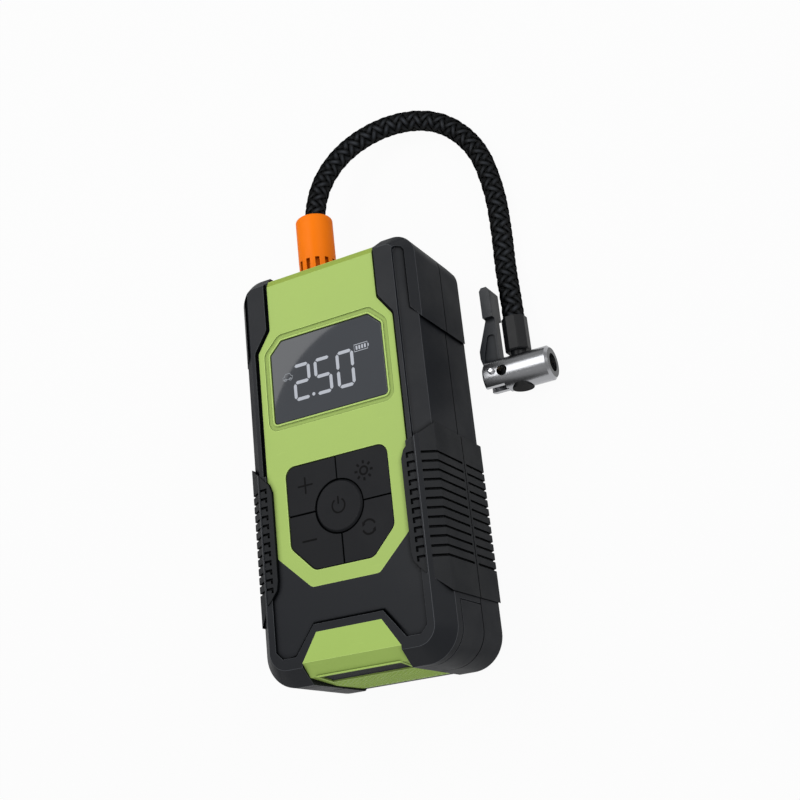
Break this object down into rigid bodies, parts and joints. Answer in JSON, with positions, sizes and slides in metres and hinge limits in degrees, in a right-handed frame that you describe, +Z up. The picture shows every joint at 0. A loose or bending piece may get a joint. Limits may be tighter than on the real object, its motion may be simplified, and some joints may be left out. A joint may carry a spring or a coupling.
{
  "type": "portable tire inflator",
  "caption": "Handheld battery tire inflator lying on its back: display, keypad, side grips, port cover and a short braided hose with a lever chuck.",
  "frame": {"origin": "bottom centre of the housing, on the flat back it lies on", "axes": "+X to the device's right, +Y along the housing towards the hose end, +Z up out of the display face"},
  "size_m": [0.1248, 0.2613, 0.0564],
  "materials": {
    "housing_black": "fine-grained moulded plastic",
    "panel_green": "satin moulded plastic",
    "trim_green": "satin moulded plastic with a diamond texture",
    "window_smoke": "smoked glossy window",
    "display_glass": "grey display with pale segments",
    "grip_black": "matt soft-touch rubber",
    "key_black": "matt silicone with signs moulded in",
    "mat_rubber": "plain silicone",
    "switch_steel": "stamped cover",
    "cover_rubber": "matt soft rubber",
    "socket_steel": "plated sleeve",
    "board_green": "lacquered laminate",
    "component_black": "moulded packages",
    "screw_steel": "blackened steel",
    "cell_wrap": "cans in a shrunk plastic wrap",
    "tab_nickel": "nickel strip",
    "lamp_clear": "clear ribbed lens",
    "led_yellow": "phosphor dome",
    "frame_steel": "zinc-plated sheet",
    "motor_steel": "drawn plated can",
    "magnet_dark": "pressed ferrite",
    "core_steel": "laminations with lacquered wire",
    "shaft_steel": "ground steel",
    "gear_brass": "machined brass",
    "gear_steel": "sintered steel",
    "cylinder_alloy": "die-cast alloy",
    "valve_rubber": "black rubber",
    "rod_alloy": "die-cast alloy",
    "collar_orange": "satin moulded plastic",
    "hose_braid": "rubber hose under a black woven sleeve",
    "ferrule_black": "blackened crimped metal",
    "chuck_chrome": "bright chrome plate",
    "plug_black": "black rubber",
    "plunger_brass": "turned brass",
    "lever_black": "smooth moulded plastic"
  },
  "bodies": {
    "housing": {"air_hose": "hose_braid", "back_shell": "housing_black", "battery_cells": "cell_wrap", "board_parts": "component_black", "board_screws": "screw_steel", "bottom_trim": "trim_green", "cell_tabs": "tab_nickel", "charge_board": "board_green", "charge_socket": "socket_steel", "chuck_barrel": "chuck_chrome", "chuck_plug": "plug_black", "chuck_seal": "valve_rubber", "crank_bush": "gear_brass", "cylinder_barrel": "cylinder_alloy", "cylinder_head": "cylinder_alloy", "display_lens": "window_smoke", "front_grip_left": "grip_black", "front_grip_right": "grip_black", "front_panel": "panel_green", "front_shell": "housing_black", "gear_frame": "frame_steel", "hose_collar": "collar_orange", "hose_ferrule": "ferrule_black", "housing_screws": "screw_steel", "key_mat": "mat_rubber", "lamp_board": "board_green", "lamp_leds": "led_yellow", "lamp_lens": "lamp_clear", "lcd_module": "display_glass", "lever_pin": "shaft_steel", "main_board": "board_green", "motor_can": "motor_steel", "motor_magnets": "magnet_dark", "outlet_fitting": "gear_brass", "outlet_valve": "valve_rubber", "rear_grip_left": "grip_black", "rear_grip_right": "grip_black", "tact_switches": "switch_steel"},
    "power_key": {"power_key": "key_black"},
    "plus_key": {"plus_key": "key_black"},
    "minus_key": {"minus_key": "key_black"},
    "lamp_key": {"lamp_key": "key_black"},
    "mode_key": {"mode_key": "key_black"},
    "port_flap": {"port_cover": "cover_rubber"},
    "rotor": {"motor_core": "core_steel", "motor_shaft": "shaft_steel", "drive_pinion": "gear_brass"},
    "crank": {"crank_gear": "gear_steel", "axle_clip": "shaft_steel"},
    "piston": {"piston_rod": "rod_alloy", "piston_cup": "valve_rubber"},
    "lever": {"chuck_lever": "lever_black"},
    "plunger": {"chuck_plunger": "plunger_brass"}
  },
  "joints": [
    {"name": "power_key_press", "type": "slide", "parent": "housing", "child": "power_key", "axis": [0, 0, -1], "range_m": [0, 0.0006], "stiffness_N_per_m": 800},
    {"name": "plus_key_press", "type": "slide", "parent": "housing", "child": "plus_key", "axis": [0, 0, -1], "range_m": [0, 0.0006], "stiffness_N_per_m": 800},
    {"name": "minus_key_press", "type": "slide", "parent": "housing", "child": "minus_key", "axis": [0, 0, -1], "range_m": [0, 0.0006], "stiffness_N_per_m": 800},
    {"name": "lamp_key_press", "type": "slide", "parent": "housing", "child": "lamp_key", "axis": [0, 0, -1], "range_m": [0, 0.0006], "stiffness_N_per_m": 800},
    {"name": "mode_key_press", "type": "slide", "parent": "housing", "child": "mode_key", "axis": [0, 0, -1], "range_m": [0, 0.0006], "stiffness_N_per_m": 800},
    {"name": "cover_hinge", "type": "hinge", "parent": "housing", "child": "port_flap", "pos_m": [0, -0.08639, 0.0405], "axis": [1, 0, 0], "range_deg": [0, 90]},
    {"name": "motor_spin", "type": "hinge", "parent": "housing", "child": "rotor", "pos_m": [0.005, 0.03, 0.0255], "axis": [1, 0, 0], "continuous": true},
    {"name": "crank_spin", "type": "hinge", "parent": "housing", "child": "crank", "pos_m": [-0.0087, 0.008, 0.0255], "axis": [1, 0, 0], "continuous": true},
    {"name": "piston_slide", "type": "slide", "parent": "housing", "child": "piston", "axis": [0, 1, 0], "range_m": [0, 0.01]},
    {"name": "lever_hinge", "type": "hinge", "parent": "housing", "child": "lever", "pos_m": [0.0565, 0.0318, 0.0075], "axis": [0, 0, 1], "range_deg": [0, 15]},
    {"name": "plunger_slide", "type": "slide", "parent": "housing", "child": "plunger", "axis": [1, 0, 0], "range_m": [0, 0.00025]}
  ],
  "couplings": [
    {"joint": "crank_spin", "follows": "motor_spin", "ratio": -0.29412},
    {"joint": "plunger_slide", "follows": "lever_hinge", "m_per_rad": 0.00095}
  ]
}
